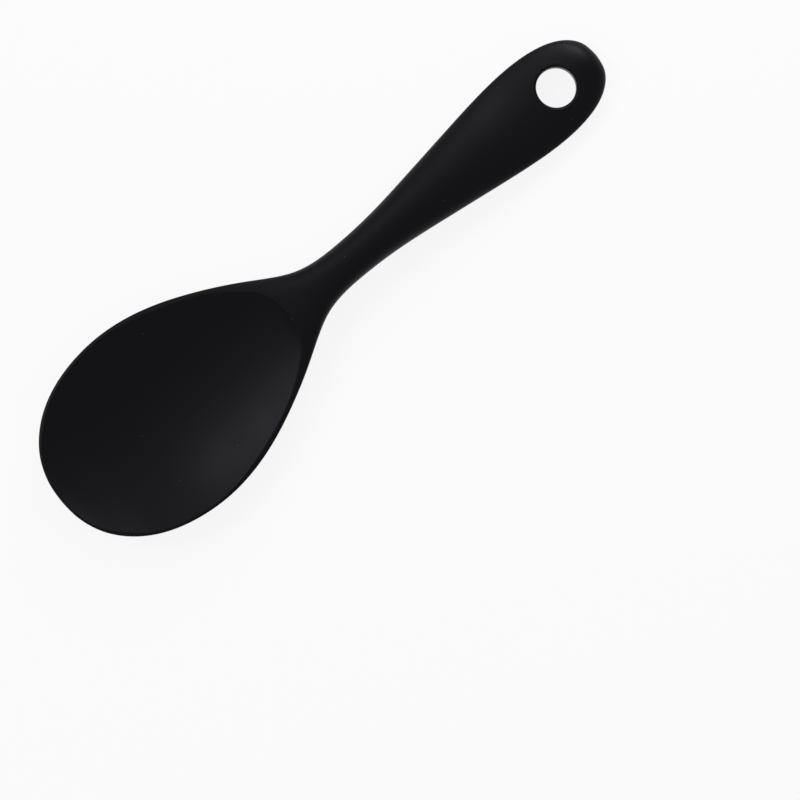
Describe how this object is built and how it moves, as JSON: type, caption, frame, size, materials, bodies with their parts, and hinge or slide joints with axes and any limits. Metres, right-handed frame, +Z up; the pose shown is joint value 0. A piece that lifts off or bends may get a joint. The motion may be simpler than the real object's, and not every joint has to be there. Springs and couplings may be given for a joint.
{
  "type": "rice paddle",
  "caption": "Silicone rice paddle with a shallow dished oval blade, a narrow neck, a swelling grip and a round hanging hole through the grip's end.",
  "frame": {"origin": "on the table, under the middle of the paddle's length", "axes": "+X along the paddle from the grip's end to the blade's tip, +Y across it, +Z up with the dish open upwards"},
  "size_m": [0.22, 0.0652, 0.0143],
  "materials": {
    "black_silicone": "matte",
    "core_nylon": "matte",
    "stiffener_steel": "brushed"
  },
  "bodies": {
    "root": {"silicone_skin": "black_silicone", "nylon_core": "core_nylon", "steel_stiffener": "stiffener_steel"}
  },
  "joints": []
}
